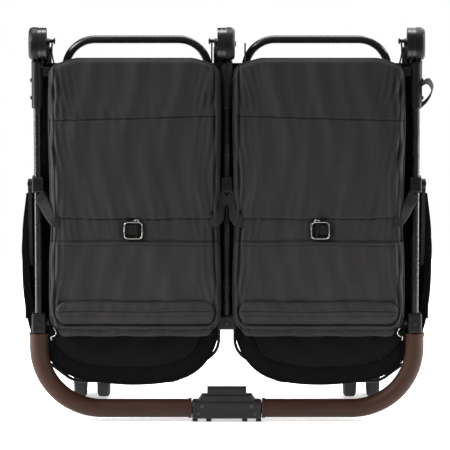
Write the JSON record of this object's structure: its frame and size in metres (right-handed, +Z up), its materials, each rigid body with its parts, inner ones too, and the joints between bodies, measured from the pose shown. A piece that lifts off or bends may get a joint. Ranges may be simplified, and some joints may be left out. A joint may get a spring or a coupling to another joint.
{
  "type": "folded twin stroller",
  "caption": "Side-by-side stroller folded to stand on its handlebar and front casters; hubs unfold frame, seats and canopies together.",
  "frame": {"origin": "on the floor, under the middle of the folded stroller's box", "axes": "+X across both seats to the right, -Y towards the stroller's front and the viewer of its folded front, +Z up; the rest pose is folded and standing"},
  "size_m": [0.772, 0.372, 0.7469],
  "materials": {
    "frame_tube": "satin black powder coat",
    "hub_plastic": "fine-textured black moulded plastic",
    "rivet_steel": "small dark steel rivet heads and screws",
    "pin_steel": "dark steel pins and axles",
    "grip_leather": "dark brown stitched leatherette",
    "seat_cloth": "charcoal woven cloth",
    "canopy_cloth": "near-black woven cloth",
    "webbing": "black flat webbing",
    "tyre_foam": "black foam tyre",
    "rim_plastic": "dark grey moulded wheel",
    "buckle": "black buckle with a bright edge"
  },
  "bodies": {
    "rear_frame": {"rear_leg_left": "frame_tube", "rear_leg_right": "frame_tube", "rear_leg_centre": "frame_tube", "rear_axle_tube": "frame_tube", "rear_axle_stubs": "pin_steel", "rear_end_collars": "hub_plastic", "seat_cross_tube": "frame_tube", "basket": "seat_cloth"},
    "rear_wheel_left": {"rear_tyre_left": "tyre_foam", "rear_rim_left": "rim_plastic"},
    "rear_wheel_right": {"rear_tyre_right": "tyre_foam", "rear_rim_right": "rim_plastic"},
    "brake": {"brake_pedal": "hub_plastic"},
    "front_frame": {"front_leg_left": "frame_tube", "front_leg_right": "frame_tube", "front_leg_centre": "frame_tube", "front_cross_tube": "frame_tube", "caster_housings": "hub_plastic"},
    "caster_left": {"caster_fork_left": "hub_plastic"},
    "caster_right": {"caster_fork_right": "hub_plastic"},
    "front_wheels_left": {"front_tyres_left": "tyre_foam", "front_rims_left": "rim_plastic"},
    "front_wheels_right": {"front_tyres_right": "tyre_foam", "front_rims_right": "rim_plastic"},
    "push_frame": {"push_tube_left": "frame_tube", "push_tube_right": "frame_tube", "push_tube_centre": "frame_tube", "push_hubs": "hub_plastic", "hub_pins": "pin_steel", "push_sleeves": "hub_plastic", "frame_screws": "rivet_steel", "canopy_collars": "hub_plastic", "handle_sockets": "hub_plastic", "tube_end_block": "hub_plastic", "handle_tube": "frame_tube", "grip_left": "grip_leather", "grip_right": "grip_leather", "handle_connector": "hub_plastic", "connector_cover": "hub_plastic", "strap_loops": "webbing", "backrest_brackets": "hub_plastic", "canopy_fabric_left": "canopy_cloth", "canopy_fabric_right": "canopy_cloth"},
    "trigger": {"fold_trigger": "hub_plastic"},
    "canopy_left": {"canopy_front_bow_left": "hub_plastic"},
    "canopy_right": {"canopy_front_bow_right": "hub_plastic"},
    "backrest_left_body": {"backrest_left": "seat_cloth", "recline_buckle_left": "buckle", "recline_strap_left": "webbing", "harness_left": "webbing"},
    "backrest_right_body": {"backrest_right": "seat_cloth", "recline_buckle_right": "buckle", "recline_strap_right": "webbing", "harness_right": "webbing"},
    "seat_left": {"seat_frame_left": "frame_tube", "seat_pad_left": "seat_cloth"},
    "seat_right": {"seat_frame_right": "frame_tube", "seat_pad_right": "seat_cloth"},
    "calf_left": {"calf_rest_left": "seat_cloth"},
    "calf_right": {"calf_rest_right": "seat_cloth"}
  },
  "joints": [
    {"name": "fold", "type": "hinge", "parent": "rear_frame", "child": "push_frame", "pos_m": [0, -0.155, 0.716], "axis": [-1, 0, 0], "range_deg": [0, 218]},
    {"name": "front_fold", "type": "hinge", "parent": "rear_frame", "child": "front_frame", "pos_m": [0, -0.155, 0.716], "axis": [-1, 0, 0], "range_deg": [-1, 70.5]},
    {"name": "seat_fold_left", "type": "hinge", "parent": "rear_frame", "child": "seat_left", "pos_m": [0, -0.08692, 0.64], "axis": [-1, 0, 0], "range_deg": [-1, 91]},
    {"name": "calf_fold_left", "type": "hinge", "parent": "seat_left", "child": "calf_left", "pos_m": [0, -0.125, 0.375], "axis": [1, 0, 0], "range_deg": [-1, 71]},
    {"name": "canopy_open_left", "type": "hinge", "parent": "push_frame", "child": "canopy_left", "pos_m": [0, -0.155, 0.452], "axis": [1, 0, 0], "range_deg": [-1, 106]},
    {"name": "recline_left", "type": "hinge", "parent": "push_frame", "child": "backrest_left_body", "pos_m": [0, -0.164, 0.666], "axis": [-1, 0, 0], "range_deg": [0, 45]},
    {"name": "caster_swivel_left", "type": "hinge", "parent": "front_frame", "child": "caster_left", "pos_m": [-0.262, 0.01, 0.137], "axis": [0, 0.9348, -0.3551], "continuous": true},
    {"name": "front_wheel_spin_left", "type": "hinge", "parent": "caster_left", "child": "front_wheels_left", "pos_m": [-0.262, 0.08815, 0.07522], "axis": [1, 0, 0], "continuous": true},
    {"name": "rear_wheel_spin_left", "type": "hinge", "parent": "rear_frame", "child": "rear_wheel_left", "pos_m": [-0.364, 0.102, 0.27], "axis": [1, 0, 0], "continuous": true},
    {"name": "seat_fold_right", "type": "hinge", "parent": "rear_frame", "child": "seat_right", "pos_m": [0, -0.08692, 0.64], "axis": [-1, 0, 0], "range_deg": [-1, 91]},
    {"name": "calf_fold_right", "type": "hinge", "parent": "seat_right", "child": "calf_right", "pos_m": [0, -0.125, 0.375], "axis": [1, 0, 0], "range_deg": [-1, 71]},
    {"name": "canopy_open_right", "type": "hinge", "parent": "push_frame", "child": "canopy_right", "pos_m": [0, -0.155, 0.452], "axis": [1, 0, 0], "range_deg": [-1, 106]},
    {"name": "recline_right", "type": "hinge", "parent": "push_frame", "child": "backrest_right_body", "pos_m": [0, -0.164, 0.666], "axis": [-1, 0, 0], "range_deg": [0, 45]},
    {"name": "caster_swivel_right", "type": "hinge", "parent": "front_frame", "child": "caster_right", "pos_m": [0.262, 0.01, 0.137], "axis": [0, 0.9348, -0.3551], "continuous": true},
    {"name": "front_wheel_spin_right", "type": "hinge", "parent": "caster_right", "child": "front_wheels_right", "pos_m": [0.262, 0.08815, 0.07522], "axis": [1, 0, 0], "continuous": true},
    {"name": "rear_wheel_spin_right", "type": "hinge", "parent": "rear_frame", "child": "rear_wheel_right", "pos_m": [0.364, 0.102, 0.27], "axis": [1, 0, 0], "continuous": true},
    {"name": "brake_press", "type": "hinge", "parent": "rear_frame", "child": "brake", "pos_m": [0.1, 0.102, 0.27], "axis": [-1, 0, 0], "range_deg": [0, 20]},
    {"name": "trigger_squeeze", "type": "slide", "parent": "push_frame", "child": "trigger", "axis": [0, 0, -1], "range_m": [0, 0.008], "stiffness_N_per_m": 900}
  ],
  "couplings": [
    {"joint": "front_fold", "follows": "fold", "ratio": 0.31743},
    {"joint": "seat_fold_left", "follows": "fold", "ratio": 0.41284},
    {"joint": "calf_fold_left", "follows": "fold", "ratio": 0.3211},
    {"joint": "canopy_open_left", "follows": "fold", "ratio": 0.48165},
    {"joint": "seat_fold_right", "follows": "fold", "ratio": 0.41284},
    {"joint": "calf_fold_right", "follows": "fold", "ratio": 0.3211},
    {"joint": "canopy_open_right", "follows": "fold", "ratio": 0.48165}
  ]
}
